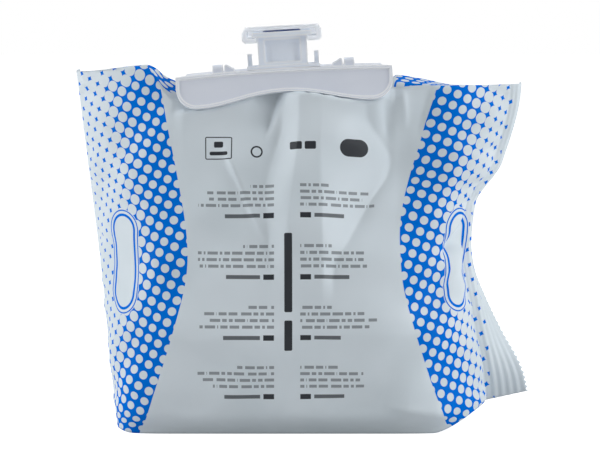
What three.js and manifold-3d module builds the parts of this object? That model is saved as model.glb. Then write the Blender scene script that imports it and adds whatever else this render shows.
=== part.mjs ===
// Hand soap refill pack: a filled film pouch that stands on its folded base, and on its top
// edge a moulded outlet with a two-part saddle collar, a blue outlet seal and a clear slide-off cap.
// Millimetres, +Z up, the printed front faces -Y, origin on the floor at the middle of the pack.
import * as THREE from "three";
import { mergeVertices } from "three/addons/utils/BufferGeometryUtils.js";
import Module from "manifold-3d";

const wasm = await Module();
wasm.setup();

// Pouch: the filled film body, measured over its two end seals
const POUCH_TOP_LEFT = -99.5; // upper corner of the left end seal
const POUCH_BASE_LEFT = -82; // lower corner of the left end seal
const POUCH_TOP_RIGHT = 92.5;
const POUCH_WAIST_RIGHT = 70.5; // where the right end is drawn in
const POUCH_BASE_RIGHT = 82;
const POUCH_HALF_DEPTH = 35; // at the belly, in the middle of the pack
const POUCH_BASE_HALF_DEPTH = 24.5; // of the flat that it stands on
const LEFT_CORNER_HEIGHT = 155;
const LEFT_EAR_HEIGHT = 158.2;
const RIGHT_EAR_HEIGHT = 149.5;
const RIGHT_CORNER_HEIGHT = 149.5;
const LEFT_SEAL_LIFT = 1; // lower end of each end seal above the floor
const RIGHT_SEAL_LIFT = 9.5;
const LEFT_EAR_LENGTH = 31; // flat film between a top corner and the place where the top opens
const RIGHT_EAR_LENGTH = 26;
const LEFT_SWEEP = 15; // each end of the pack sweeps backwards by this much in its upper part
const RIGHT_SWEEP = 11;
const EAR_HALF_DEPTH = 2.7; // where an ear meets the open top
const SWEEP_LENGTH = 34; // distance from the seal over which it sweeps
const BELLY_SHARE = 0.3; // height of the deepest place, as a share of the front panel
const BACK_FULLNESS = 0.94; // the back panel is a little flatter than the front one
const BELLY_SQUARE = [3.8, 9]; // how square the belly is in plan, along the pack and at its boxy left end
const BELLY_ROUND = [1.6, 2.2]; // how round it is where it runs into the seals
const BASE_SQUARE = [8, 16]; // the same for the flat that it stands on
const BASE_ROUND = [2, 3];

// End seals: welded fins of film beyond the filled body
const FIN_WIDTH = 16;
const FIN_THICKNESS = 0.9;
const FIN_CORNER_RISE = 4; // the right fin's lower corner turns up by this much
const LEFT_FIN_BEND = 0.3; // share of the fin's width that its bend takes
const RIGHT_FIN_BEND = 0.6;

// Collar: two half shells that close round the outlet's stem
const COLLAR_X = -7.7; // middle of the outlet, left of the pack's middle
const DECK_Z = 157.4; // top of the deck there
const TILT_DEG = 3.3; // the outlet leans with its right end up
const COLLAR_LENGTH = 93.7; // along the front edge
const COLLAR_BACK_LENGTH = 86;
const DECK_DEPTH = 17;
const DECK_BOW = 1.35; // the deck's ends sit lower than its middle by this much
const WALL = 1.6; // deck and plate thickness
const PLATE_FLARE_DEG = 19; // plates lean outwards with the film
const PLATE_CREST = 10.1; // plate height in the middle of its arch
const PLATE_TROUGH = 15.7; // plate height at its deepest
const TROUGH_X = 38.5; // distance of the deepest place from the middle
const PLATE_CORNER = 9; // round of the plate's lower corners
const RIM_WIDTH = 1.2; // raised edge round the plate's face
const RIM_PROUD = 0.7;
const LUG_WIDTH = 4.5; // latch lugs on the deck's front edge, in pairs
const LUG_GAP = 0.6;
const LUG_X = 25.9; // distance of the gap of each pair from the middle
const LUG_HEIGHT = 3.6;
const LUG_DEPTH = 5.6;
const LUG_ROUND = 2; // round of the outer lug's top
const INNER_LUG_DEPTH = 4.5;
const INNER_LUG_DROP = 1.5; // the inner lug slopes down by this much
const INNER_LUG_ROUND = 1.1; // round of its two upper corners

// Outlet: weld base on the film, stem through the deck, shoulder, neck and cap rail
const WELD_LENGTH = 42;
const WELD_DEPTH = 11;
const WELD_THICKNESS = 2.2;
const FILM_DROP = 6.2; // deck top down to the film's top panel, under the weld base
const FILM_DROP_LEFT = 11; // and at the collar's two ends
const FILM_DROP_RIGHT = 8.8;
const STEM_WIDTH = 21.4;
const STEM_DEPTH = 10;
const SHOULDER_WIDTH = 31.6;
const SHOULDER_DEPTH = 13.4;
const SHOULDER_HEIGHT = 1.3;
const NECK_HEIGHT = 12.6;
const PANEL_WIDTH = 15.6; // sunk panel on the neck's front and back
const PANEL_HEIGHT = 10;
const PANEL_SUNK = 1.5;
const RAIL_WIDTH = 25.6;
const RAIL_DEPTH = 16;
const RAIL_HEIGHT = 2;
const BORE_WIDTH = 13;
const BORE_DEPTH = 5;
const PEG_X = 14.5; // locating pegs beside the neck
const PEG_WIDTH = 2;
const PEG_DEPTH = 3;
const PEG_HEIGHT = 5.2;

// Outlet seal and cap
const SEAL_WIDTH = 16.4;
const SEAL_DEPTH = 9;
const SEAL_POCKET = 0.8; // depth of its seat in the rail
const SEAL_PROUD = 0.5;
const SEAL_CROWN = 0.3; // height of the sloped edge of its crown
const SEAL_SLOPE = 2.2; // and the width of that edge
const CAP_WIDTH = 34.4;
const CAP_SIDE = 2.3; // side wall
const CAP_ROOF = 1.2;
const CAP_LIP = 2.2; // height of the lips that hook under the rail
const CAP_BACK = 1.4; // back wall, which stops on the rail
const CAP_CHAMFER = 2.2; // height of the chamfer on its upper corners
const CAP_CHAMFER_WIDTH = 1.3; // its width, and the size of the lower corners' chamfer

const GAP = 0.3; // clearance between pieces that touch
const SHOULDER_GAP = 0.1; // clearance under the outlet's shoulder, which rests on the deck
const SKIN_GAP = 0.5; // clearance between the film and the collar's inside
const CUT_PAST = 1; // a cut runs this far past the face that it opens

const rad = THREE.MathUtils.degToRad;
const lerp = THREE.MathUtils.lerp;
const smooth = THREE.MathUtils.smoothstep;
const tiltSlope = Math.tan(rad(TILT_DEG));

// Materials
const plastic = (color, roughness) => new THREE.MeshStandardMaterial({ color, roughness, metalness: 0 });
const film = plastic(0xd9e1e6, 0.35);
const whitePlastic = plastic(0xe4e7ee, 0.45);
const bluePlastic = plastic(0x0a2a8c, 0.4);
const clearPlastic = plastic(0xeef2f5, 0.1);

// A closed three.js geometry as a solid that can be joined and cut
function solid(geometry) {
  const bare = geometry.clone();
  bare.deleteAttribute("normal");
  bare.deleteAttribute("uv");
  const merged = mergeVertices(bare, 1e-4);
  const vertProperties = new Float32Array(merged.attributes.position.array);
  const triVerts = new Uint32Array(merged.index.array);
  return new wasm.Manifold(new wasm.Mesh({ numProp: 3, vertProperties, triVerts }));
}

// A solid as a named mesh
function node(name, made, material) {
  const { vertProperties, triVerts } = made.getMesh();
  const geometry = new THREE.BufferGeometry();
  geometry.setAttribute("position", new THREE.BufferAttribute(vertProperties, 3));
  geometry.setIndex(new THREE.BufferAttribute(triVerts, 1));
  geometry.computeVertexNormals();
  const mesh = new THREE.Mesh(geometry, material);
  mesh.name = name;
  return mesh;
}

const join = (first, ...others) => others.reduce((made, other) => made.add(other), first);

// A box between two levels, centred in x and y on the given place
function block(width, depth, low, high, x = 0, y = 0) {
  const box = new THREE.BoxGeometry(width, depth, high - low);
  return solid(box.translate(x, y, (low + high) / 2));
}

// A shape with square edges, extruded to a depth
function extruded(shape, depth, curveSegments) {
  return new THREE.ExtrudeGeometry(shape, { depth, bevelEnabled: false, curveSegments });
}

// A shape drawn in x and z, extruded along y from the front face backwards
function slabXZ(shape, front, thickness) {
  return solid(extruded(shape, thickness, 8).rotateX(Math.PI / 2).translate(0, front + thickness, 0));
}

// A shape drawn in x and y, extruded upwards
function slabXY(shape, low, high) {
  return solid(extruded(shape, high - low, 10).translate(0, 0, low));
}

// A shape drawn in y and z, extruded along x
function slabYZ(shape, left, right) {
  const turned = extruded(shape, right - left, 6).rotateX(Math.PI / 2).rotateZ(Math.PI / 2);
  return solid(turned.translate(left, 0, 0));
}

const outline = (points) => new THREE.Shape(points.map(([a, b]) => new THREE.Vector2(a, b)));

// A smooth line through points, with no overshoot, held flat beyond its ends
function through(points) {
  const slope = (i) => (points[i + 1][1] - points[i][1]) / (points[i + 1][0] - points[i][0]);
  const tangents = points.map((_, i) => {
    if (i === 0 || i === points.length - 1) return 0;
    const [before, after] = [slope(i - 1), slope(i)];
    return before * after > 0 ? (2 * before * after) / (before + after) : 0;
  });
  return (t) => {
    if (t <= points[0][0]) return points[0][1];
    const i = points.findIndex((p) => t <= p[0]) - 1;
    if (i < 0) return points[points.length - 1][1];
    const span = points[i + 1][0] - points[i][0];
    const s = (t - points[i][0]) / span;
    const ease = s * s * (3 - 2 * s);
    const start = s * (1 - s) * (1 - s) * span * tangents[i];
    const end = s * s * (1 - s) * span * tangents[i + 1];
    return lerp(points[i][1], points[i + 1][1], ease) + start - end;
  };
}

// Pouch

// Height of the film's top panel under the tilted deck
const panelUnderDeck = (x, drop) => DECK_Z + (x - COLLAR_X) * tiltSlope - drop;

// Share of the way from the left seal to the right one, for a place along the top
const topShare = (x) => (x - POUCH_TOP_LEFT) / (POUCH_TOP_RIGHT - POUCH_TOP_LEFT);
const collarLeft = COLLAR_X - COLLAR_LENGTH / 2;
const collarRight = COLLAR_X + COLLAR_LENGTH / 2;
const weldLeft = COLLAR_X - WELD_LENGTH / 2;
const weldRight = COLLAR_X + WELD_LENGTH / 2;

const topHeight = through([
  [0, LEFT_CORNER_HEIGHT],
  [topShare(POUCH_TOP_LEFT + LEFT_EAR_LENGTH), LEFT_EAR_HEIGHT],
  [topShare(collarLeft), panelUnderDeck(collarLeft, FILM_DROP_LEFT)],
  [topShare(weldLeft), panelUnderDeck(weldLeft, FILM_DROP)],
  [topShare(COLLAR_X), panelUnderDeck(COLLAR_X, FILM_DROP)],
  [topShare(weldRight), panelUnderDeck(weldRight, FILM_DROP)],
  [topShare(collarRight), panelUnderDeck(collarRight, FILM_DROP_RIGHT)],
  [topShare(POUCH_TOP_RIGHT - RIGHT_EAR_LENGTH), RIGHT_EAR_HEIGHT],
  [1, RIGHT_CORNER_HEIGHT],
]);

// Half depth of the top panel: flat ears, and a panel that fits between the collar's plates
const flareSlope = Math.tan(rad(PLATE_FLARE_DEG));
const plateAcross = WALL / Math.cos(rad(PLATE_FLARE_DEG));
const panelHalf = DECK_DEPTH / 2 - plateAcross + FILM_DROP * flareSlope - SKIN_GAP;
const topHalfDepth = through([
  [0, FIN_THICKNESS / 2],
  [topShare(POUCH_TOP_LEFT + LEFT_EAR_LENGTH), EAR_HALF_DEPTH],
  [topShare(collarLeft), panelHalf],
  [topShare(collarRight), panelHalf],
  [topShare(POUCH_TOP_RIGHT - RIGHT_EAR_LENGTH), EAR_HALF_DEPTH],
  [1, FIN_THICKNESS / 2],
]);

// Fullness from one seal to the other: nothing at the seals, full across the middle
const fullness = (u, square, round) => (1 - Math.abs(2 * u - 1) ** square) ** (1 / round);

const baseHeight = through([
  [0, LEFT_SEAL_LIFT],
  [0.05, 0],
  [0.84, 0],
  [1, RIGHT_SEAL_LIFT],
]);
const rightEdge = through([
  [0, POUCH_BASE_RIGHT],
  [0.3, lerp(POUCH_BASE_RIGHT, POUCH_WAIST_RIGHT, 0.6)],
  [0.5, POUCH_WAIST_RIGHT],
  [0.62, POUCH_WAIST_RIGHT + 2],
  [0.75, lerp(POUCH_WAIST_RIGHT, POUCH_TOP_RIGHT, 0.65)],
  [1, POUCH_TOP_RIGHT],
]);
const leftEdge = (q) => lerp(POUCH_BASE_LEFT, POUCH_TOP_LEFT, q);

// Share of the way from the base's half depth to the belly's, with a soft edge just above the floor
const footRoll = through([
  [0, 0],
  [0.058, 0.66],
  [0.072, 0.74],
  [0.16, 0.92],
  [BELLY_SHARE, 1],
]);

// Half depth of the front or back panel at share u of the width and share q of its height.
// The left end is boxy near the floor, where the pack stands on it.
function halfDepth(u, q) {
  const seal = FIN_THICKNESS / 2;
  const boxy = (1 - smooth(u, 0.2, 0.5)) * (1 - smooth(q, 0.05, 0.6));
  const bellyFull = fullness(u, lerp(...BELLY_SQUARE, boxy), lerp(...BELLY_ROUND, boxy));
  const baseFull = fullness(u, lerp(...BASE_SQUARE, boxy), lerp(...BASE_ROUND, boxy));
  const belly = seal + (POUCH_HALF_DEPTH - seal) * bellyFull;
  const base = seal + (POUCH_BASE_HALF_DEPTH - seal) * baseFull;
  const top = topHalfDepth(u);
  if (q < BELLY_SHARE) return lerp(Math.min(base, belly), belly, footRoll(q));
  const rise = (1 - q) / (1 - BELLY_SHARE);
  return lerp(top, Math.max(belly, top), rise * (1 + 0.15 * (1 - rise)));
}

// How far the film sweeps backwards at a place along the pack and share q of its height
function sweepBack(x, q) {
  const left = Math.max(1 - (x - leftEdge(q)) / SWEEP_LENGTH, 0) ** 2 * smooth(q, 0.05, 0.5);
  const right = Math.max(1 - (rightEdge(q) - x) / SWEEP_LENGTH, 0) ** 2 * smooth(q, 0.5, 0.8);
  return LEFT_SWEEP * left + RIGHT_SWEEP * right;
}

// One closed section of the filled body: up the front, over the top, down the back, under the base
const PANEL_STEPS = 14;
const FOLD_STEPS = 4;
function section(u) {
  const ring = [];
  const low = baseHeight(u);
  const high = topHeight(u);
  const place = (q, skin) => {
    const x = lerp(leftEdge(q), rightEdge(q), u);
    const point = new THREE.Vector3(x, skin + sweepBack(x, q), lerp(low, high, q));
    return Object.assign(point, { skin });
  };
  const shareUp = (i) => smooth(i / PANEL_STEPS, -0.3, 1.1) / smooth(1, -0.3, 1.1);
  const foot = shareUp(0);
  const q = (i) => (shareUp(i) - foot) / (1 - foot);
  for (let i = 0; i <= PANEL_STEPS; i++) ring.push(place(q(i), -halfDepth(u, q(i))));
  for (let i = 1; i < FOLD_STEPS; i++) ring.push(place(1, halfDepth(u, 1) * (2 * (i / FOLD_STEPS) - 1)));
  for (let i = PANEL_STEPS; i >= 0; i--) {
    const flat = lerp(BACK_FULLNESS, 1, smooth(q(i), 0.6, 1));
    ring.push(place(q(i), halfDepth(u, q(i)) * flat));
  }
  for (let i = 1; i < FOLD_STEPS; i++) {
    const share = 1 - i / FOLD_STEPS;
    ring.push(place(0, halfDepth(u, 0) * lerp(-1, BACK_FULLNESS, share)));
  }
  return ring;
}

// Angle that each fin turns back from the plane of the pack, by share of its height
const leftFinTurn = () => rad(88);
const rightFinTurn = through([
  [0, rad(8)],
  [0.2, rad(55)],
  [0.42, rad(88)],
  [0.72, rad(90)],
  [1, rad(84)],
]);

// The rings of one fin, from the seal outwards: it leaves the seal and bends back by the end of its bend
const FIN_STEPS = 4;
function finRings(sealRing, side, turn, rise, bendEnd) {
  const rings = [];
  const lowest = Math.min(...sealRing.map((p) => p.z));
  const tallest = Math.max(...sealRing.map((p) => p.z)) - lowest;
  for (let k = 1; k <= FIN_STEPS; k++) {
    rings.push(sealRing.map((p) => {
      const q = (p.z - lowest) / tallest;
      const moved = new THREE.Vector3(p.x, p.y - p.skin, p.z);
      let angle = 0;
      for (let j = 1; j <= k; j++) {
        angle = turn(q) * smooth(j / FIN_STEPS, 0, bendEnd);
        moved.x += side * Math.cos(angle) * (FIN_WIDTH / FIN_STEPS);
        moved.y += Math.sin(angle) * (FIN_WIDTH / FIN_STEPS);
      }
      moved.x -= side * Math.sin(angle) * p.skin;
      moved.y += Math.cos(angle) * p.skin;
      moved.z += rise * (1 - q) ** 4 * (k / FIN_STEPS);
      return moved;
    }));
  }
  return rings;
}

// Closes a stack of rings with the same number of points into a solid, with a strip over each end
function loft(rings) {
  const count = rings[0].length;
  const positions = rings.flatMap((ring) => ring.flatMap((p) => [p.x, p.y, p.z]));
  const index = [];
  for (let r = 0; r + 1 < rings.length; r++) {
    for (let i = 0; i < count; i++) {
      const [a, b] = [r * count + i, r * count + ((i + 1) % count)];
      index.push(a, a + count, b, b, a + count, b + count);
    }
  }
  const capEnd = (first, flip) => {
    const add = (a, b, c) => {
      const [second, third] = flip ? [c, b] : [b, c];
      index.push(first + a, first + second, first + third);
    };
    for (let lo = 0, hi = count - 1; lo + 1 < hi; ) {
      add(lo, lo + 1, hi);
      lo++;
      if (lo + 1 < hi) add(lo, hi - 1, hi);
      hi--;
    }
  };
  capEnd(0, false);
  capEnd((rings.length - 1) * count, true);
  const geometry = new THREE.BufferGeometry();
  geometry.setAttribute("position", new THREE.Float32BufferAttribute(positions, 3));
  geometry.setIndex(index);
  return solid(geometry);
}

const BODY_STEPS = 34;
function pouchSolid() {
  const body = [];
  for (let i = 0; i <= BODY_STEPS; i++) {
    const t = i / BODY_STEPS;
    body.push(section(lerp(t, smooth(t, 0, 1), 0.55)));
  }
  const left = finRings(body[0], -1, leftFinTurn, 0, LEFT_FIN_BEND).reverse();
  const right = finRings(body[BODY_STEPS], 1, rightFinTurn, FIN_CORNER_RISE, RIGHT_FIN_BEND);
  return loft([...left, ...body, ...right]);
}

// Collar, in the outlet's own frame: deck top at z 0, middle at x 0

// How far the bowed deck lies under its middle, at a distance along it
const deckDrop = (x) => DECK_BOW * ((2 * x) / COLLAR_LENGTH) ** 2;

// Outline of a plate, drawn inside its edge by the given inset
function plateOutline(length, inset) {
  const half = length / 2 - inset;
  const trough = PLATE_TROUGH - inset;
  const crest = PLATE_CREST - inset;
  const corner = PLATE_CORNER - inset;
  const troughX = Math.min(TROUGH_X, half - corner);
  const drop = deckDrop(half);
  const shape = new THREE.Shape();
  shape.moveTo(-half, -drop - inset);
  shape.lineTo(-half, corner - trough);
  shape.bezierCurveTo(-half, corner * 0.4 - trough, -half + corner * 0.5, -trough, -troughX, -trough);
  shape.bezierCurveTo(-troughX * 0.66, -trough, -troughX * 0.42, -crest, 0, -crest);
  shape.bezierCurveTo(troughX * 0.42, -crest, troughX * 0.66, -trough, troughX, -trough);
  shape.bezierCurveTo(half - corner * 0.5, -trough, half, corner * 0.4 - trough, half, corner - trough);
  shape.lineTo(half, -drop - inset);
  shape.quadraticCurveTo(0, drop - inset, -half, -drop - inset);
  return shape;
}

// A plate with its face sunk inside a raised rim, hanging from the deck's edge and leaning outwards
function plate(length) {
  const full = slabXZ(plateOutline(length, 0), -RIM_PROUD, WALL + RIM_PROUD);
  const face = slabXZ(plateOutline(length, RIM_WIDTH), -2 * RIM_PROUD, 2 * RIM_PROUD);
  return full.subtract(face).rotate([-PLATE_FLARE_DEG, 0, 0]).translate([0, -DECK_DEPTH / 2, 0]);
}

// Half of the deck, from its outer edge to the parting gap, cut round the outlet's stem
function deckHalf(outerLength, innerLength) {
  const [outer, inner] = [-DECK_DEPTH / 2, -GAP / 2];
  const plan = outline([
    [-outerLength / 2, outer],
    [outerLength / 2, outer],
    [innerLength / 2, inner],
    [-innerLength / 2, inner],
  ]);
  const half = outerLength / 2;
  const drop = deckDrop(half);
  const strip = new THREE.Shape();
  strip.moveTo(-half, -drop - WALL);
  strip.quadraticCurveTo(0, drop - WALL, half, -drop - WALL);
  strip.lineTo(half, -drop);
  strip.quadraticCurveTo(0, drop, -half, -drop);
  const hole = block(STEM_WIDTH + 2 * GAP, STEM_DEPTH + 2 * GAP, -2 * WALL, WALL);
  const bowed = slabXZ(strip, outer, inner - outer);
  return bowed.intersect(slabXY(plan, -2 * WALL - DECK_BOW, WALL)).subtract(hole);
}

// The outer lug of a pair: a rounded hook that stands up from the deck's front edge
function outerLug(side) {
  const front = -DECK_DEPTH / 2;
  const back = front + LUG_DEPTH;
  const level = LUG_HEIGHT - LUG_ROUND;
  const profile = new THREE.Shape();
  profile.moveTo(front, -WALL / 2);
  profile.lineTo(front, level);
  profile.absarc(front + LUG_ROUND, level, LUG_ROUND, Math.PI, Math.PI / 2, true);
  profile.absarc(back - LUG_ROUND, level, LUG_ROUND, Math.PI / 2, 0, true);
  profile.lineTo(back, -WALL / 2);
  const start = LUG_X + LUG_GAP / 2;
  const made = slabYZ(profile, start, start + LUG_WIDTH);
  return side > 0 ? made : made.mirror([1, 0, 0]);
}

// The inner lug of a pair: a round-topped peg that slopes down towards the neck
function innerLug(side) {
  const outer = LUG_X - LUG_GAP / 2;
  const inner = outer - LUG_WIDTH;
  const [high, low] = [LUG_HEIGHT, LUG_HEIGHT - INNER_LUG_DROP];
  const profile = new THREE.Shape();
  profile.moveTo(outer, -WALL / 2);
  profile.lineTo(outer, high - INNER_LUG_ROUND);
  profile.quadraticCurveTo(outer, high, outer - INNER_LUG_ROUND, high);
  profile.lineTo(inner + INNER_LUG_ROUND, low);
  profile.quadraticCurveTo(inner, low, inner, low - INNER_LUG_ROUND);
  profile.lineTo(inner, -WALL / 2);
  const made = slabXZ(profile, -DECK_DEPTH / 2, INNER_LUG_DEPTH);
  return side > 0 ? made : made.mirror([1, 0, 0]);
}

function collarFrontSolid() {
  const middleLength = (COLLAR_LENGTH + COLLAR_BACK_LENGTH) / 2;
  const lugs = [-1, 1].flatMap((side) => [outerLug(side), innerLug(side)]);
  const seated = lugs.map((lug) => lug.translate([0, 0, -deckDrop(LUG_X)]));
  return join(deckHalf(COLLAR_LENGTH, middleLength), plate(COLLAR_LENGTH), ...seated);
}

function collarBackSolid() {
  const middleLength = (COLLAR_LENGTH + COLLAR_BACK_LENGTH) / 2;
  return join(deckHalf(COLLAR_BACK_LENGTH, middleLength), plate(COLLAR_BACK_LENGTH)).mirror([0, 1, 0]);
}

// Outlet
const shoulderLow = SHOULDER_GAP;
const neckLow = shoulderLow + SHOULDER_HEIGHT;
const railLow = neckLow + NECK_HEIGHT;
const railHigh = railLow + RAIL_HEIGHT;
const weldLow = -FILM_DROP + GAP;

// The weld base with pointed ends, as film fitments have, grown by a margin where one is given
function weldBase(margin) {
  const [half, deep] = [WELD_LENGTH / 2 + margin, WELD_DEPTH / 2 + margin];
  const shape = new THREE.Shape();
  shape.moveTo(-half, 0);
  shape.quadraticCurveTo(-half * 0.55, -deep, 0, -deep);
  shape.quadraticCurveTo(half * 0.55, -deep, half, 0);
  shape.quadraticCurveTo(half * 0.55, deep, 0, deep);
  shape.quadraticCurveTo(-half * 0.55, deep, -half, 0);
  return slabXY(shape, weldLow - margin, weldLow + WELD_THICKNESS + margin);
}

function sealOutline(margin) {
  const shape = new THREE.Shape();
  const [half, deep] = [SEAL_WIDTH / 2 + margin, SEAL_DEPTH / 2 + margin];
  shape.moveTo(-half + deep, -deep);
  shape.lineTo(half - deep, -deep);
  shape.absarc(half - deep, 0, deep, -Math.PI / 2, Math.PI / 2, false);
  shape.lineTo(-half + deep, deep);
  shape.absarc(-half + deep, 0, deep, Math.PI / 2, (3 * Math.PI) / 2, false);
  return shape;
}

function spoutSolid() {
  const stem = block(STEM_WIDTH, STEM_DEPTH, weldLow + WELD_THICKNESS / 2, railLow + RAIL_HEIGHT / 2);
  const shoulder = block(SHOULDER_WIDTH, SHOULDER_DEPTH, shoulderLow, neckLow);
  const rail = block(RAIL_WIDTH, RAIL_DEPTH, railLow, railHigh);
  const neckDepth = SHOULDER_DEPTH - 2 * PANEL_SUNK;
  const neckWall = block(STEM_WIDTH, neckDepth, shoulderLow, railLow + RAIL_HEIGHT / 2);
  const pegs = [-1, 1].map((side) =>
    block(PEG_WIDTH, PEG_DEPTH, shoulderLow, neckLow + PEG_HEIGHT, side * PEG_X));
  const panelLow = neckLow + (NECK_HEIGHT - PANEL_HEIGHT) / 2;
  const panels = [-1, 1].map((side) =>
    block(PANEL_WIDTH, 2 * PANEL_SUNK, panelLow, panelLow + PANEL_HEIGHT, 0,
      side * (SHOULDER_DEPTH / 2 - PANEL_SUNK)));
  const bore = block(BORE_WIDTH, BORE_DEPTH, weldLow - CUT_PAST, railHigh + CUT_PAST);
  const pocket = slabXY(sealOutline(GAP), railHigh - SEAL_POCKET, railHigh + CUT_PAST);
  const body = join(weldBase(0), stem, neckWall, shoulder, rail, ...pegs);
  return [...panels, bore, pocket].reduce((made, cut) => made.subtract(cut), body);
}

// The outlet seal: a plug that lies in its seat, with a low crown that closes the mouth
function sealSolid() {
  const low = railHigh - SEAL_POCKET + GAP;
  const shape = sealOutline(0);
  const geometry = new THREE.ExtrudeGeometry(shape, {
    depth: railHigh + SEAL_PROUD - low - SEAL_CROWN,
    bevelEnabled: true,
    bevelThickness: SEAL_CROWN,
    bevelSize: SEAL_SLOPE,
    bevelOffset: -SEAL_SLOPE,
    bevelSegments: 2,
    curveSegments: 8,
  });
  const rounded = solid(geometry.translate(0, 0, low));
  const below = block(2 * SEAL_WIDTH, 2 * SEAL_DEPTH, low - 2 * CUT_PAST, low);
  return rounded.subtract(below);
}

// Cap: a clear channel that slides over the rail from behind, hooked under it by two lips
function capSolid() {
  const roofLow = railHigh + SEAL_PROUD + GAP;
  const top = roofLow + CAP_ROOF;
  const lipHigh = railLow - GAP;
  const bottom = lipHigh - CAP_LIP;
  const half = CAP_WIDTH / 2;
  const inset = half - CAP_CHAMFER_WIDTH;
  const shell = outline([
    [-half, bottom + CAP_CHAMFER_WIDTH],
    [-inset, bottom],
    [inset, bottom],
    [half, bottom + CAP_CHAMFER_WIDTH],
    [half, top - CAP_CHAMFER],
    [inset, top],
    [-inset, top],
    [-half, top - CAP_CHAMFER],
  ]);
  const front = -RAIL_DEPTH / 2;
  const body = slabXZ(shell, front, RAIL_DEPTH + GAP + CAP_BACK);
  const inside = CAP_WIDTH - 2 * CAP_SIDE;
  const depth = 2 * (RAIL_DEPTH / 2 + GAP);
  const railSpace = block(inside, depth, lipHigh, roofLow);
  const neckSpace = block(STEM_WIDTH + 2 * GAP, depth, bottom - CUT_PAST, lipHigh + CUT_PAST);
  return body.subtract(railSpace).subtract(neckSpace);
}

// Assembly
const outlet = new THREE.Group();
outlet.position.set(COLLAR_X, 0, DECK_Z);
outlet.rotation.y = -rad(TILT_DEG);
outlet.add(node("collar_front", collarFrontSolid(), whitePlastic));
outlet.add(node("collar_back", collarBackSolid(), whitePlastic));
outlet.add(node("spout", spoutSolid(), whitePlastic));
outlet.add(node("outlet_seal", sealSolid(), bluePlastic));
outlet.add(node("slide_cap", capSolid(), clearPlastic));

// The film is cut back from the weld base by the clearance
const seat = weldBase(GAP).rotate([0, -TILT_DEG, 0]).translate([COLLAR_X, 0, DECK_Z]);
const pack = new THREE.Group();
pack.add(node("pouch", pouchSolid().subtract(seat), film));
pack.add(outlet);

export default pack;
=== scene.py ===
# Looks of a liquid soap refill pack: printed film pouch, moulded outlet and collar,
# blue seal, clear cap.
# Sizes are in millimetres in the row frame and become metres when a mesh is made.
import math

import bpy
import numpy as np
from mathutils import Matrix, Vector


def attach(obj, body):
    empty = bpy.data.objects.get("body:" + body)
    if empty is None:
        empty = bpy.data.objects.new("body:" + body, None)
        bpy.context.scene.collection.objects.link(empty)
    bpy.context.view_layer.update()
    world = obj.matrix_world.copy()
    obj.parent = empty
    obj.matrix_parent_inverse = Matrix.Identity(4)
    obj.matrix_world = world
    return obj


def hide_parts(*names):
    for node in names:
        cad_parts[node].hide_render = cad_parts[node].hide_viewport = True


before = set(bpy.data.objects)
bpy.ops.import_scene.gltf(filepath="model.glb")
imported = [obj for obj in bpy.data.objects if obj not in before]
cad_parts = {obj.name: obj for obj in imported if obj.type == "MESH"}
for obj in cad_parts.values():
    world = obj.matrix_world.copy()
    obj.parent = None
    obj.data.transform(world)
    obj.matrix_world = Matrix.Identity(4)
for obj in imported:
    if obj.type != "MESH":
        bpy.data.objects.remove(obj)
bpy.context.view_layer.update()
MM = 0.001

# Pouch sizes, the same as the solid's
TOP_LEFT, BASE_LEFT = -99.5, -82.0
TOP_RIGHT, WAIST_RIGHT, BASE_RIGHT = 92.5, 70.5, 82.0
BELLY_HALF, BASE_HALF = 35.0, 24.5
LEFT_CORNER_Z, LEFT_EAR_Z = 155.0, 158.2
RIGHT_EAR_Z, RIGHT_CORNER_Z = 149.5, 149.5
LEFT_LIFT, RIGHT_LIFT = 1.0, 9.5
LEFT_EAR, RIGHT_EAR, EAR_HALF = 31.0, 26.0, 2.7
BELLY_Q = 0.3
BACK_FULL = 0.94
FIN_WIDTH, FIN_HALF = 16.0, 0.25
FIN_CORNER_RISE, FIN_FLARE = 4.0, 2.6
LEFT_SWEEP, RIGHT_SWEEP, SWEEP_LENGTH = 15.0, 11.0, 34.0
LEFT_SWEEP_RISE, RIGHT_SWEEP_RISE = (0.05, 0.5), (0.5, 0.8)
# Squareness and roundness of the level sections: at the full right end, and at the boxy left end
BELLY_SQUARE, BELLY_ROUND = (3.8, 9.0), (1.6, 2.2)
BASE_SQUARE, BASE_ROUND = (8.0, 16.0), (2.0, 3.0)
BOXY_WIDTH, BOXY_HEIGHT = (0.5, 0.2), (0.05, 0.6)
SHOULDER_FULL = 0.15

# Outlet and collar sizes, the same as the solids'
OUTLET_X, DECK_Z, TILT = -7.7, 157.4, math.radians(3.3)
COLLAR_LENGTH, DECK_DEPTH, WALL = 93.7, 17.0, 1.6
PLATE_CREST, PLATE_TROUGH, TROUGH_X = 10.1, 15.7, 38.5
FLARE = math.radians(19)
WELD_LENGTH = 42.0
FILM_DROP, FILM_DROP_LEFT, FILM_DROP_RIGHT = 6.2, 11.0, 8.8
SKIN_GAP = 0.5

# Middle of the print along the pouch
PRINT_X = -5.5


def lerp(a, b, t):
    return a + (b - a) * t


def smooth(t, low, high):
    t = np.clip((t - low) / (high - low), 0, 1)
    return t * t * (3 - 2 * t)


def through(points):
    """A smooth line through points, with no overshoot, held flat beyond its ends."""
    xs, ys = np.array(points, float).T
    slopes = np.diff(ys) / np.diff(xs)
    tangents = np.zeros(len(xs))
    before, after = slopes[:-1], slopes[1:]
    same = before * after > 0
    tangents[1:-1][same] = 2 * before[same] * after[same] / (before[same] + after[same])

    def at(t):
        t = np.clip(t, xs[0], xs[-1])
        i = np.clip(np.searchsorted(xs, t, side="right") - 1, 0, len(xs) - 2)
        span = xs[i + 1] - xs[i]
        s = (t - xs[i]) / span
        ease = s * s * (3 - 2 * s)
        bend = s * (1 - s) ** 2 * tangents[i] - s * s * (1 - s) * tangents[i + 1]
        return lerp(ys[i], ys[i + 1], ease) + bend * span

    return at


# Film pouch


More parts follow.
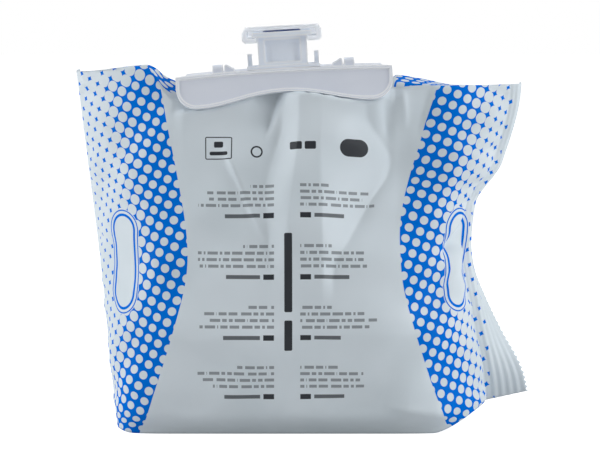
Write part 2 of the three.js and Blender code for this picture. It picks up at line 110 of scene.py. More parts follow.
def top_share(x):
    return (x - TOP_LEFT) / (TOP_RIGHT - TOP_LEFT)


def under_deck(x, drop):
    return DECK_Z + (x - OUTLET_X) * math.tan(TILT) - drop


COLLAR_LEFT, COLLAR_RIGHT = OUTLET_X - COLLAR_LENGTH / 2, OUTLET_X + COLLAR_LENGTH / 2
WELD_LEFT, WELD_RIGHT = OUTLET_X - WELD_LENGTH / 2, OUTLET_X + WELD_LENGTH / 2
PANEL_HALF = DECK_DEPTH / 2 - WALL / math.cos(FLARE) + FILM_DROP * math.tan(FLARE) - SKIN_GAP

top_height = through([
    (0, LEFT_CORNER_Z),
    (top_share(TOP_LEFT + LEFT_EAR), LEFT_EAR_Z),
    (top_share(COLLAR_LEFT), under_deck(COLLAR_LEFT, FILM_DROP_LEFT)),
    (top_share(WELD_LEFT), under_deck(WELD_LEFT, FILM_DROP)),
    (top_share(OUTLET_X), under_deck(OUTLET_X, FILM_DROP)),
    (top_share(WELD_RIGHT), under_deck(WELD_RIGHT, FILM_DROP)),
    (top_share(COLLAR_RIGHT), under_deck(COLLAR_RIGHT, FILM_DROP_RIGHT)),
    (top_share(TOP_RIGHT - RIGHT_EAR), RIGHT_EAR_Z),
    (1, RIGHT_CORNER_Z),
])
top_half = through([
    (0, FIN_HALF),
    (top_share(TOP_LEFT + LEFT_EAR), EAR_HALF),
    (top_share(COLLAR_LEFT), PANEL_HALF),
    (top_share(COLLAR_RIGHT), PANEL_HALF),
    (top_share(TOP_RIGHT - RIGHT_EAR), EAR_HALF),
    (1, FIN_HALF),
])
base_height = through([(0, LEFT_LIFT), (0.05, 0), (0.84, 0), (1, RIGHT_LIFT)])
right_edge = through([
    (0, BASE_RIGHT),
    (0.3, lerp(BASE_RIGHT, WAIST_RIGHT, 0.6)),
    (0.5, WAIST_RIGHT),
    (0.62, WAIST_RIGHT + 2),
    (0.75, lerp(WAIST_RIGHT, TOP_RIGHT, 0.65)),
    (1, TOP_RIGHT),
])
foot_roll = through([(0, 0), (0.058, 0.66), (0.072, 0.74), (0.16, 0.92), (BELLY_Q, 1)])


def fullness(u, square, round_):
    return (1 - np.abs(2 * u - 1) ** square) ** (1 / round_)


def half_depth(u, q):
    """Half depth of the front or back panel at share u of the width and q of its height."""
    boxy = smooth(u, *BOXY_WIDTH) * (1 - smooth(q, *BOXY_HEIGHT))
    belly_full = fullness(u, lerp(*BELLY_SQUARE, boxy), lerp(*BELLY_ROUND, boxy))
    base_full = fullness(u, lerp(*BASE_SQUARE, boxy), lerp(*BASE_ROUND, boxy))
    belly = FIN_HALF + (BELLY_HALF - FIN_HALF) * belly_full
    base = FIN_HALF + (BASE_HALF - FIN_HALF) * base_full
    top = top_half(u)
    low = lerp(np.minimum(base, belly), belly, foot_roll(q))
    rise = np.clip((1 - q) / (1 - BELLY_Q), 0, 1)
    high = lerp(top, np.maximum(belly, top), rise * (1 + SHOULDER_FULL * (1 - rise)))
    return np.where(q < BELLY_Q, low, high)


# Relief of the front film, drawn in the front view: x to the right, z up
CREASE_SHARP, CREASE_STARTS, CREASE_ENDS = 0.4, (-0.12, 0.25), (0.6, 1.12)
PLATE_PAST, FAR_ABOVE = 1.0, 400.0


def crease(x, z, start, end, height, left, right):
    """A fold along a line, dying out over its left and right widths and at its ends."""
    (x0, z0), (x1, z1) = start, end
    length = math.hypot(x1 - x0, z1 - z0)
    ax, az = (x1 - x0) / length, (z1 - z0) / length
    along = ((x - x0) * ax + (z - z0) * az) / length
    across = (x - x0) * -az + (z - z0) * ax
    width = np.where(across > 0, left, right)
    reach = np.sqrt(across ** 2 + CREASE_SHARP ** 2) - CREASE_SHARP
    ends = smooth(along, *CREASE_STARTS) * (1 - smooth(along, *CREASE_ENDS))
    return height * np.exp(-reach / width) * ends


def plate_edge(x):
    """Height of the collar plate's lower edge, or far above the film beyond the collar's ends."""
    out = np.abs(x - OUTLET_X)
    swing = (1 - np.cos(np.clip(out / TROUGH_X, 0, 1) * math.pi)) / 2
    edge = under_deck(x, lerp(PLATE_CREST, PLATE_TROUGH, swing) * math.cos(FLARE))
    return np.where(out < COLLAR_LENGTH / 2 + PLATE_PAST, edge, FAR_ABOVE)


# The pleat that hangs from the outlet: a flat face with a slope on each side
PLEAT_X = through([(75, 1.2), (150, 4.0)])
PLEAT_FACE = through([(75, 7.5), (140, 4.2)])
PLEAT_LEFT = through([(72, 7.0), (110, 12.0), (135, 8.0)])
PLEAT_RIGHT = through([(72, 5.0), (85, 12.0), (100, 21.0), (118, 32.0), (140, 20.0)])
PLEAT_HEIGHT = through([(55, 0), (72, 3.0), (100, 6.2), (128, 6.4), (142, 5.0)])
PLEAT_RIGHT_DROP = through([(76, 0), (95, 4.5), (115, 9.0), (132, 6.0), (146, 2.0)])
WING_END, WING_FADE = 40.0, 66.0
PLEAT_SOFT = 0.15

FRONT_CREASES = [
    # start, end, height, width on the upper or right side, width on the lower or left side
    ((-8.5, 152), (-16.0, 128), -4.2, 1.2, 8.0),
    ((-34, 126), (-15, 84), 2.3, 7.0, 1.4),
    ((-52.5, 146), (-40, 134), 0.9, 3.0, 3.5),
    ((44, 149), (47, 133), 1.2, 2.0, 4.0),
    ((56, 150), (52, 128), -1.2, 4.0, 5.0),
    ((36, 146), (38, 126), -1.6, 5.0, 5.0),
    ((38, 14), (68, 8), 3.4, 6.5, 3.0),
    ((77, 98), (65, 83), 1.4, 5.0, 2.5),
    ((75, 95), (61, 76), -4.0, 3.5, 1.0),
    ((77, 84), (60, 66), 1.6, 5.0, 4.0),
    ((77, 72), (52, 58), -1.2, 4.0, 6.0),
    ((84, 118), (62, 122), 1.0, 5.0, 4.0),
    ((-86, 132), (-66, 126), -0.8, 3.0, 4.0),
    ((-88, 122), (-70, 112), 0.7, 3.0, 3.0),
    ((-80, 34), (-60, 30), -0.9, 4.0, 4.0),
    ((-78, 24), (-58, 14), 0.8, 4.0, 4.0),
]


def pleat(x, z):
    out = x - PLEAT_X(z)
    run = np.where(out > 0, PLEAT_RIGHT(z), PLEAT_LEFT(z))
    slope = np.clip((np.abs(out) - PLEAT_FACE(z)) / run, 0, 1)
    fall = lerp(slope, smooth(slope, 0, 1), PLEAT_SOFT)
    wing = np.where(out > 0, fall, 0) * (1 - smooth(out, WING_END, WING_FADE))
    return PLEAT_HEIGHT(z) * (1 - fall) - PLEAT_RIGHT_DROP(z) * wing


# Under the collar's front plate the film swells out to the plate's face, except at the dimple
# beside the pleat
SWELL = through([
    (-56, 0), (-50, 2.4), (-26, 2.2), (-18, 0.2), (-12, 0.2), (-6, 1.8), (10, 3.0), (32, 4.2), (40, 0)])
SWELL_FALL = 11.0
PLATE_TOUCH = (-1.6, -0.1)


def front_relief(x, z):
    under = plate_edge(x) - z
    made = pleat(x, z) + SWELL(x) * np.exp(-np.maximum(under, 0) / SWELL_FALL)
    for start, end, height, left, right in FRONT_CREASES:
        made = made + crease(x, z, start, end, height, left, right)
    under_plate = smooth(-under, *PLATE_TOUCH)
    return np.where(made > 0, made * (1 - under_plate), made)


# Long waves of the slack film: length along the pouch, length round it, turn, height
SLACK_WAVES = ((61, 83, 0.4, 0.45), (37, -52, 1.9, 0.3), (-24, 31, 3.1, 0.16), (90, 27, 5.0, 0.3))
# Gathers at the end seals: pitch, turn, height
GATHERS = ((13.0, 0.3, 0.5), (8.3, 2.2, 0.35), (21.0, 4.0, 0.5))
GATHER_SLANT, GATHER_FADE, GATHER_START = 0.03, 13.0, 4.0


def slack(s, t):
    """Gentle unevenness of filled film, from a few long waves."""
    made = 0.0
    for wave_s, wave_t, turn, size in SLACK_WAVES:
        made = made + size * np.sin(2 * math.pi * (s / wave_s + t / wave_t) + turn)
    return made


def seal_gathers(from_seal, t):
    """Short gathers of film that run into an end seal and die out away from it."""
    made = 0.0
    for pitch, turn, size in GATHERS:
        made = made + size * np.sin(2 * math.pi * t / pitch + turn + from_seal * GATHER_SLANT)
    return made * np.exp(-from_seal / GATHER_FADE) * smooth(from_seal, 0, GATHER_START)


# Columns run from left to right and rows round the pouch: front, top, back, underside
BODY_COLUMNS, FIN_COLUMNS, COLUMN_CROWDING = 250, 24, 0.45
PANEL_ROWS, TOP_ROWS, UNDER_ROWS = 124, 14, 16
FRONT_END = PANEL_ROWS + 1
TOP_END = FRONT_END + TOP_ROWS - 1
BACK_END = TOP_END + PANEL_ROWS + 1
BACK_LIFT = through([
    (-69, 0), (-62, 3.0), (-55.5, 7.2), (-50, 0), (38, 0), (42, 2.8), (52, 2.2), (68, 0)])
BACK_FILLS, BACK_LIFTS = (0.6, 1), (0.5, 1)
LAP_HEIGHT, LAP_HALF, LAP_PROUD = 74.0, 6.0, 0.45
LAP_SLOPE, LAP_START = 0.8, 10.0
# Where the film gets loose: under the plate, away from the end seals and above the foot
COVER_FADE, LOOSE_FROM_SEAL, LOOSE_FROM_FOOT, FOLD_START = (-3, 0), (0, 12), (3, 14), 3.0
RIBS, RIB_HEIGHT, RIB_START, RIB_END = 5.5, 0.25, 0.12, 0.92
TOOTH = 0.55
FLARE_FALL, RISE_FALL = 6, 4
LEFT_TURN, LEFT_BEND, RIGHT_BEND = 88.0, (-0.6, 0.1), (-0.1, 0.55)
right_turn = through([(0, 2), (0.2, 54), (0.42, 86), (0.72, 90), (1, 84)])


def film_grid():
    """Points of the filled body in columns and rows, before any relief."""
    t = np.linspace(0, 1, BODY_COLUMNS + 1)
    u = lerp(t, smooth(t, 0, 1), COLUMN_CROWDING)[:, None]
    q = np.linspace(0, 1, PANEL_ROWS + 1)[None, :]

    def place(share, y, lift=0.0):
        x = lerp(lerp(BASE_LEFT, TOP_LEFT, share), right_edge(share), u)
        z = lerp(base_height(u), top_height(u) + lift * BACK_LIFT(x), share)
        from_left = (x - lerp(BASE_LEFT, TOP_LEFT, share)) / SWEEP_LENGTH
        from_right = (right_edge(share) - x) / SWEEP_LENGTH
        y = y + LEFT_SWEEP * np.clip(1 - from_left, 0, 1) ** 2 * smooth(share, *LEFT_SWEEP_RISE)
        y = y + RIGHT_SWEEP * np.clip(1 - from_right, 0, 1) ** 2 * smooth(share, *RIGHT_SWEEP_RISE)
        return np.stack(np.broadcast_arrays(x, y, z), axis=-1)

    front = place(q, -half_depth(u, q))
    back_q = q[:, ::-1]
    flat = lerp(BACK_FULL, 1, smooth(back_q, *BACK_FILLS))
    back = place(back_q, half_depth(u, back_q) * flat, smooth(back_q, *BACK_LIFTS))
    over = np.linspace(0, 1, TOP_ROWS + 1)[None, 1:-1]
    top = place(np.ones_like(over), half_depth(u, 1.0) * (2 * over - 1), over)
    under = np.linspace(0, 1, UNDER_ROWS + 1)[None, 1:-1]
    base = place(np.zeros_like(under), half_depth(u, 0.0) * lerp(BACK_FULL, -1, under))
    return np.concatenate([front, top, back, base], axis=1)


def film_lengths(points):
    """Film places in millimetres: s from the print's middle to the right, t round from the front foot."""
    steps = np.linalg.norm(np.diff(points[..., :2], axis=0), axis=-1)
    s = np.concatenate([np.zeros((1, points.shape[1])), np.cumsum(steps, axis=0)])
    for row in range(points.shape[1]):
        s[:, row] -= np.interp(PRINT_X, points[:, row, 0], s[:, row])
    middle = points[np.argmin(np.abs(points[:, 0, 0] - PRINT_X))]
    around = np.concatenate([[0], np.cumsum(np.linalg.norm(np.diff(middle, axis=0), axis=-1))])
    t = np.broadcast_to(around, s.shape).copy()
    front, back = slice(0, FRONT_END), slice(TOP_END, BACK_END)
    for panel, foot in ((front, 0), (back, BACK_END - 1)):
        level = middle[panel, 2]
        order = np.argsort(level)
        height = points[:, panel, 2]
        over = np.maximum(height - level.max(), 0) * np.sign(around[panel][order][-1] - around[foot])
        t[:, panel] = np.interp(height, level[order], around[panel][order]) + over
    for column in t:
        across_top = np.linspace(column[FRONT_END - 1], column[TOP_END], TOP_ROWS + 1)
        column[FRONT_END:TOP_END] = across_top[1:-1]
    return s, t, around


def outward(points):
    """The direction out of the pouch at each point."""
    along = np.gradient(points, axis=0)
    wrapped = np.concatenate([points[:, -1:], points, points[:, :1]], axis=1)
    around = (wrapped[:, 2:] - wrapped[:, :-2]) / 2
    normal = np.cross(along, around)
    return normal / np.maximum(np.linalg.norm(normal, axis=-1, keepdims=True), 1e-9)


def fin(seal, side, turn, rise, bend, flare):
    """Columns of one end fin from its seal outwards: bent back, with seal ribs and a pinked edge."""
    low, high = seal[:, 2].min(), seal[:, 2].max()
    q = (seal[:, 2] - low) / (high - low)
    tooth = np.where(np.arange(len(seal)) % 2 == 0, TOOTH, -TOOTH)
    tooth[TOP_END:BACK_END] = tooth[:FRONT_END][::-1]
    middle = np.zeros(len(seal))
    for panel, facing in ((slice(0, FRONT_END), 1), (slice(TOP_END, BACK_END), -1)):
        middle[panel] = seal[panel, 1] + facing * FIN_HALF
    middle[FRONT_END:TOP_END] = middle[TOP_END]
    middle[BACK_END:] = middle[0]
    place = np.stack([seal[:, 0], middle, seal[:, 2]], axis=-1)
    columns = []
    step = FIN_WIDTH / FIN_COLUMNS
    for k in range(1, FIN_COLUMNS + 1):
        f = k / FIN_COLUMNS
        angle = np.radians(turn(q)) * smooth(f, *bend)
        ahead = np.stack([side * np.cos(angle), np.sin(angle), np.zeros_like(angle)], axis=-1)
        last = tooth if k == FIN_COLUMNS else 0.0
        place = place + ahead * (step + last + flare * (1 - q) ** FLARE_FALL / FIN_COLUMNS)[:, None]
        rib = RIB_HEIGHT * math.sin(2 * math.pi * f * RIBS) * float(RIB_START < f < RIB_END)
        across = np.stack([side * np.sin(angle), -np.cos(angle), np.zeros_like(angle)], axis=-1)
        thick = across * (rib + middle - seal[:, 1])[:, None]
        lift = np.stack([np.zeros_like(q), np.zeros_like(q), rise * (1 - q) ** RISE_FALL * f], axis=-1)
        columns.append(place + thick + lift)
    return np.stack(columns)


def film_mesh():
    """The printed pouch as one closed mesh with its film coordinates kept in a UV map."""
    body = film_grid()
    s, t, around = film_lengths(body)
    normal = outward(body)
    rows = np.arange(body.shape[1])[None, :]
    front = (rows < FRONT_END).astype(float)
    back = ((rows >= TOP_END) & (rows < BACK_END)).astype(float)
    from_seal = np.minimum(s - s[0], s[-1] - s)
    covered = smooth(body[..., 2] - plate_edge(body[..., 0]), *COVER_FADE)
    loose = smooth(from_seal, *LOOSE_FROM_SEAL) * smooth(body[..., 2], *LOOSE_FROM_FOOT)
    height = front * front_relief(body[..., 0], body[..., 2]) * smooth(from_seal, 0, FOLD_START)
    uneven = slack(s, t) * loose + seal_gathers(from_seal, t)
    height = height + (front + back) * uneven * (1 - covered)
    lap = np.clip((LAP_HALF - np.abs(body[..., 2] - LAP_HEIGHT)) / LAP_SLOPE, 0, 1)
    height = height + back * LAP_PROUD * lap * smooth(from_seal, 0, LAP_START)
    body = body + normal * height[..., None]
    body[..., 2] = np.maximum(body[..., 2], 0)
    left = fin(body[0], -1, lambda q: np.full_like(q, LEFT_TURN), 0.0, LEFT_BEND, 0.0)[::-1]
    right = fin(body[-1], 1, right_turn, FIN_CORNER_RISE, RIGHT_BEND, FIN_FLARE)
    points = np.concatenate([left, body, right])
    reach = np.arange(1, FIN_COLUMNS + 1)[:, None] * (FIN_WIDTH / FIN_COLUMNS)
    s = np.concatenate([(s[:1] - reach)[::-1], s, s[-1:] + reach])
    t = np.concatenate([np.repeat(t[:1], FIN_COLUMNS, 0), t, np.repeat(t[-1:], FIN_COLUMNS, 0)])

    index = np.arange(points[..., 0].size).reshape(points.shape[:2])
    here, after = index[:-1], index[1:]
    next_after, next_here = np.roll(after, -1, 1), np.roll(here, -1, 1)
    quads = np.stack([here, after, next_after, next_here], axis=-1).reshape(-1, 4).tolist()
    for ring, flip in ((index[0], 1), (index[-1], -1)):
        front_edge, back_edge = ring[:FRONT_END], ring[TOP_END:BACK_END][::-1]
        for i in range(PANEL_ROWS):
            quads.append([front_edge[i], front_edge[i + 1], back_edge[i + 1], back_edge[i]][::flip])
        quads.append([*ring[FRONT_END - 1:TOP_END + 1]][::-flip])
        quads.append([*ring[BACK_END - 1:], ring[0]][::-flip])
    mesh = bpy.data.meshes.new("film_pouch")
    mesh.from_pydata((points.reshape(-1, 3) * MM).tolist(), [], quads)
    mesh.polygons.foreach_set("use_smooth", [True] * len(mesh.polygons))
    corners = np.zeros(len(mesh.loops), int)
    mesh.loops.foreach_get("vertex_index", corners)
    film = np.stack([s.ravel()[corners], t.ravel()[corners]], axis=-1)
    mesh.uv_layers.new(name="film").uv.foreach_set("vector", film.astype(np.float32).ravel())
    mesh.validate()
    obj = bpy.data.objects.new("film_pouch", mesh)
    bpy.context.scene.collection.objects.link(obj)
    return obj, around


pouch, film_rows = film_mesh()
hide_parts("pouch")
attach(pouch, "pack")

# Shader nodes


def feed(tree, socket, value):
    """Sets a socket to a plain value, or links it to a wire."""
    if isinstance(value, Wire):
        tree.links.new(value.socket, socket)
    else:
        socket.default_value = value


class Wire:
    """A number that runs through a node tree; arithmetic on it adds math nodes."""

    def __init__(self, tree, socket):
        self.tree = tree
        self.socket = socket

    def math(self, operation, *others, clamp=False):
        node = self.tree.nodes.new("ShaderNodeMath")
        node.operation = operation
        node.use_clamp = clamp
        for slot, value in enumerate((self, *others)):
            feed(self.tree, node.inputs[slot], value)
        return Wire(self.tree, node.outputs[0])

    def __add__(self, other):
        return self.math("ADD", other)

    def __sub__(self, other):
        return self.math("SUBTRACT", other)

    def __mul__(self, other):
        return self.math("MULTIPLY", other)

    def __truediv__(self, other):
        return self.math("DIVIDE", other)

    def __abs__(self):
        return self.math("ABSOLUTE")

    def at_most(self, other):
        return self.math("MINIMUM", other)

    def at_least(self, other):
        return self.math("MAXIMUM", other)

    def floor(self):
        return self.math("FLOOR")

    def fraction(self):
        return self.math("FRACT")

    def inverted(self):
        return (self * -1) + 1

    def hypot(self, other):
        return (self * self + other * other).math("SQRT")

    def ramp(self, low, high):
        """0 at the low value, 1 at the high one, smooth between them."""
        node = self.tree.nodes.new("ShaderNodeMapRange")
        node.interpolation_type = "SMOOTHSTEP"
        feed(self.tree, node.inputs["Value"], self)
        feed(self.tree, node.inputs["From Min"], low)
        feed(self.tree, node.inputs["From Max"], high)
        return Wire(self.tree, node.outputs["Result"])

    def below(self, limit):
        """A mask that is 1 under the limit, with an edge as soft as ink on film."""
        return ((self - limit) / -INK_EDGE + 0.5).math("ADD", 0.0, clamp=True)


def node_group(name, inputs, outputs):
    """A shader node group: its tree, its inputs as wires and a call that sets an output."""
    tree = bpy.data.node_groups.new(name, "ShaderNodeTree")
    for side, names in (("INPUT", inputs), ("OUTPUT", outputs)):
        for socket in names:
            tree.interface.new_socket(socket, in_out=side, socket_type="NodeSocketFloat")
    start = tree.nodes.new("NodeGroupInput")
    end = tree.nodes.new("NodeGroupOutput")
    given = [Wire(tree, start.outputs[socket]) for socket in inputs]
    return tree, given, lambda socket, wire: feed(tree, end.inputs[socket], wire)


def placed(tree, group, **values):
    """A group placed in a tree with its values; the wires of its outputs."""
    node = tree.nodes.new("ShaderNodeGroup")
    node.node_tree = group
    for socket, value in values.items():
        feed(tree, node.inputs[socket], value)
    made = [Wire(tree, output) for output in node.outputs]
    return made[0] if len(made) == 1 else made


def mixed(tree, share, first, second):
    """A colour between two colours."""
    node = tree.nodes.new("ShaderNodeMix")
    node.data_type = "RGBA"
    feed(tree, node.inputs["Factor"], share)
    feed(tree, node.inputs[6], first)
    feed(tree, node.inputs[7], second)
    return Wire(tree, node.outputs[2])


def place_on(tree, scale):
    """Noise place on a piece: its own coordinates times a scale per metre."""
    place = tree.nodes.new("ShaderNodeTexCoord")
    node = tree.nodes.new("ShaderNodeVectorMath")
    node.operation = "SCALE"
    tree.links.new(place.outputs["Object"], node.inputs[0])
    feed(tree, node.inputs["Scale"], scale)
    return Wire(tree, node.outputs["Vector"])


def noise(tree, scale, detail, twist=0.0):
    node = tree.nodes.new("ShaderNodeTexNoise")
    feed(tree, node.inputs["Vector"], place_on(tree, scale))
    feed(tree, node.inputs["Scale"], 1.0)
    feed(tree, node.inputs["Detail"], detail)
    feed(tree, node.inputs["Distortion"], twist)
    return Wire(tree, node.outputs["Fac"])


def white_noise(tree, number):
    node = tree.nodes.new("ShaderNodeTexWhiteNoise")
    node.noise_dimensions = "1D"
    feed(tree, node.inputs["W"], number)
    return Wire(tree, node.outputs["Value"])


def new_material(name):
    material = bpy.data.materials.new(name)
    material.use_nodes = True
    tree = material.node_tree
    shader = tree.nodes["Principled BSDF"]
    return material, tree, shader


def relief(tree, shader, height, depth):
    """Surface relief from a height in millimetres."""
    node = tree.nodes.new("ShaderNodeBump")
    feed(tree, node.inputs["Height"], height)
    feed(tree, node.inputs["Distance"], depth * MM)
    tree.links.new(node.outputs["Normal"], shader.inputs["Normal"])


def srgb(*levels):
    """A colour as it looks on a screen, 0 to 255, as the linear colour that a shader takes."""
    shares = [level / 255 for level in levels]
    linear = [v / 12.92 if v < 10 / 255 else ((v + 0.055) / 1.055) ** 2.4 for v in shares]
    return (*linear, 1.0)


def seen_directly(tree):
    """1 where the camera, a reflection or clear plastic sees a surface, 0 where it only lights others."""
    path = tree.nodes.new("ShaderNodeLightPath")
    seen = Wire(tree, path.outputs["Is Camera Ray"])
    seen = seen.at_least(Wire(tree, path.outputs["Is Glossy Ray"]))
    return seen.at_least(Wire(tree, path.outputs["Is Transmission Ray"]))


# Print on the film: dotted fields, plain pills and rows of dashes, all in film millimetres
INK_EDGE = 0.12
BACK_FOOT = float(film_rows[BACK_END - 1])
FRONT_TOP = float(film_rows[PANEL_ROWS])
FIELD_MIDDLE, FIELD_HALF, FIELD_WAIST = 2.0, 45.2, 82.0
FIELD_SWEEP_LOW, FIELD_SWEEP_HIGH, FIELD_ROUND = 0.33, 0.22, 18.0
FIELD_REACH = 104.0
DOT_PITCH, LATTICE_TURN = 5.15, math.radians(24)
DOT_RADIUS, DOT_GROWTH_NEAR, DOT_GROWTH_FAR = 0.36, 0.18, 0.1
NEAR_GROWTH, FAR_GROWTH = (9.0, 34.0), (34.0, 78.0)
BACK_FIELD_WIDER = 15.0
RIGHT_FIELD_IN, RIGHT_FIELD_SWEEP = 1.4, 0.06
RIGHT_DOTS = (3.1, 1.3)
PILL_X, PILL_T, PILL_HALF_WIDTH, PILL_HALF_HEIGHT = 78.0, 78.5, 9.5, 23.0
PILL_LINE, PILL_INNER = 0.6, 2.6

BLUE_INK = srgb(0, 119, 230)
DARK_INK = srgb(52, 55, 60)
FILM_WHITE = srgb(229, 237, 242)
FILM_SHADE = srgb(222, 231, 236)
# The bare film shines, and the ink printed on it takes most of that shine away
FILM_GLOSS, FILM_GLOSS_BLUR, INK_DULLS = 0.24, 0.2, 0.85
FILM_ROUGHNESS, SMUDGE_ROUGHENS, INK_SMOOTHS = 0.17, 0.1, 0.03
FILM_SMUDGE, FILM_GRAIN, FILM_TONES = 50.0, 2.2, (0.35, 0.65)
SMUDGE_RELIEF, GRAIN_RELIEF, FILM_RELIEF = 2.0, 0.05, 0.12


def rounded_box_group():
    """Distance from the outline of a box with round corners, less than 0 inside it."""
    tree, given, give = node_group(
        "rounded box", ("Across", "Along", "Half Width", "Half Height", "Corner"), ("Distance",))
    across, along, half_width, half_height, corner = given
    out_across = abs(across) - half_width + corner
    out_along = abs(along) - half_height + corner
    outside = out_across.at_least(0.0).hypot(out_along.at_least(0.0))
    inside = out_across.at_least(out_along).at_most(0.0)
    give("Distance", outside + inside - corner)
    return tree


def field_depth_group():
    """How far a place lies inside the dotted fields, whose inner edges draw in at the waist."""
    tree, given, give = node_group("field depth", ("Along", "Around"), ("Depth",))
    along, around = given
    panel_height = around.at_most((around * -1) + BACK_FOOT).at_least(0.0)
    from_waist = panel_height - FIELD_WAIST
    sweep = from_waist.below(0.0) * (FIELD_SWEEP_LOW - FIELD_SWEEP_HIGH) + FIELD_SWEEP_HIGH
    opening = (from_waist * from_waist + FIELD_ROUND ** 2).math("SQRT") - FIELD_ROUND
    front = around.below(FRONT_TOP)
    right = (along - FIELD_MIDDLE).below(0.0).inverted()
    above = from_waist.below(0.0).inverted()
    narrower = right * front * (opening * above * RIGHT_FIELD_SWEEP + RIGHT_FIELD_IN)
    wider = front.inverted() * BACK_FIELD_WIDER
    give("Depth", abs(along - FIELD_MIDDLE) - FIELD_HALF - opening * sweep + wider - narrower)
    return tree


def halftone_group(field_depth):
    """Blue ink between round holes on a turned lattice; the holes grow outwards until they merge."""
    tree, given, give = node_group("halftone", ("Along", "Around"), ("Ink",))
    along, around = given
    turn_cos, turn_sin = math.cos(LATTICE_TURN), math.sin(LATTICE_TURN)
    right = (along - FIELD_MIDDLE).below(0.0).inverted()
    shift_along, shift_around = right * RIGHT_DOTS[0], right * RIGHT_DOTS[1]
    lattice_along, lattice_around = along + shift_along, around + shift_around
    p = (lattice_along * turn_cos - lattice_around * turn_sin) / DOT_PITCH
    q = (lattice_along * turn_sin + lattice_around * turn_cos) / DOT_PITCH
    p_cell, q_cell = p.floor() + 0.5, q.floor() + 0.5
    from_dot = (p - p_cell).hypot(q - q_cell)
    dot_along = (p_cell * turn_cos + q_cell * turn_sin) * DOT_PITCH - shift_along
    dot_around = (q_cell * turn_cos - p_cell * turn_sin) * DOT_PITCH - shift_around
    dot_depth = placed(tree, field_depth, Along=dot_along, Around=dot_around)
    near = dot_depth.ramp(*NEAR_GROWTH) * DOT_GROWTH_NEAR
    far = dot_depth.ramp(*FAR_GROWTH) * DOT_GROWTH_FAR
    radius = near + far + DOT_RADIUS
    hole = ((from_dot - radius) * DOT_PITCH).below(0.0)
    depth = placed(tree, field_depth, Along=along, Around=around)
    field = depth.below(0.0).inverted() * abs(along).below(FIELD_REACH)
    give("Ink", field * hole.inverted())
    return tree


# Rows of dashes in two columns, flush to the middle of the print
ROWS_MIDDLE, ROWS_FLUSH = -0.6, 5.6
BLOCK_FOOT, BLOCK_PITCH, BLOCKS, BLOCK_BELOW = 21.5, 26.2, 4, 0.25
LINE_FOOT, LINE_PITCH, LINES, LINE_SHARE = 3.2, 2.85, 4, 0.46
LINE_LENGTH, LINE_RAG, LAST_LINE = 25.0, 8.0, 9.0
TAG_LENGTH, TAG_HALF = 4.6, 1.15
BAR_START, BAR_LENGTH, BAR_RAG, BAR_HALF = 6.0, 11.0, 5.0, 0.85
# Pitch of the breaks in a row and the share of it that is left open
DASH_BREAKS = ((5.3, 0.16), (8.9, 0.10))
DASH_SLIDE = 9.0
BAR_INK, DASH_INK = 0.85, 0.62
# Steps that give each row and each bar a draw of its own
ROW_BLOCK_STEP, ROW_LINE_STEP, ROW_SIDE_STEP = 7.3, 1.7, 31.9
BAR_BLOCK_STEP, BAR_SIDE_STEP = 3.1, 12.7


def dash_rows_group():
    """Blocks of broken rows on both sides of the middle, each with a tag and a bar at its foot."""
    tree, given, give = node_group("dash rows", ("Along", "Around"), ("Ink",))
    along, around = given
    side = (along - ROWS_MIDDLE).math("SIGN")
    from_flush = abs(along - ROWS_MIDDLE) - ROWS_FLUSH
    in_blocks = (around - BLOCK_FOOT + BLOCK_PITCH * BLOCK_BELOW) / BLOCK_PITCH
    block = in_blocks.floor()
    height = (in_blocks.fraction() - BLOCK_BELOW) * BLOCK_PITCH
    shown = abs(block - (BLOCKS - 1) / 2).below(BLOCKS / 2) * from_flush.below(0.0).inverted()

    in_lines = (height - LINE_FOOT) / LINE_PITCH
    line = in_lines.floor()
    label = block * ROW_BLOCK_STEP + line * ROW_LINE_STEP + side * ROW_SIDE_STEP
    rag = white_noise(tree, label)
    last = (line - (LINES - 1.5)).math("GREATER_THAN", 0.0)
    length = rag * LINE_RAG + last * (LAST_LINE - LINE_LENGTH) + LINE_LENGTH
    row = abs(in_lines.fraction() - 0.5).math("LESS_THAN", LINE_SHARE / 2)
    in_block = abs(line - (LINES - 1) / 2).math("LESS_THAN", LINES / 2)
    dashes = row * in_block * from_flush.below(length)
    for pitch, gap in DASH_BREAKS:
        dashes = dashes * (from_flush / pitch + rag * DASH_SLIDE).fraction().math("GREATER_THAN", gap)

    bar_draw = white_noise(tree, block * BAR_BLOCK_STEP + side * BAR_SIDE_STEP)
    from_bar = from_flush - BAR_START
    bar = abs(height).below(BAR_HALF) * from_bar.below(0.0).inverted()
    bar = bar * from_bar.below(bar_draw * BAR_RAG + BAR_LENGTH)
    tag = abs(height).below(TAG_HALF) * from_flush.below(TAG_LENGTH)
    give("Ink", shown * tag.at_least(bar * BAR_INK).at_least(dashes * DASH_INK))
    return tree


# The two upright bars between the columns, and the marks above them: middle, then half sizes
UPRIGHT_BARS = ((-0.1, 48.6, 1.7, 6.6), (-0.1, 75.6, 1.7, 16.8))
FRAME_MARK = (-30.0, 129.9, 5.6, 4.7)
FRAME_BARS = ((-30.0, 127.6, 3.9, 0.8), (-30.0, 131.4, 2.0, 1.3))
RING_MARK, RING_RADIUS, RING_LINE = (-13.7, 128.4), 2.6, 0.7
SHORT_BARS = ((3.2, 130.6, 2.6, 1.7), (9.4, 130.6, 2.4, 1.7))
BADGE_MARK = (28.2, 130.2, 6.2, 3.8)
FRAME_LINE, FRAME_CORNER, BAR_CORNER = 0.45, 0.5, 0.6


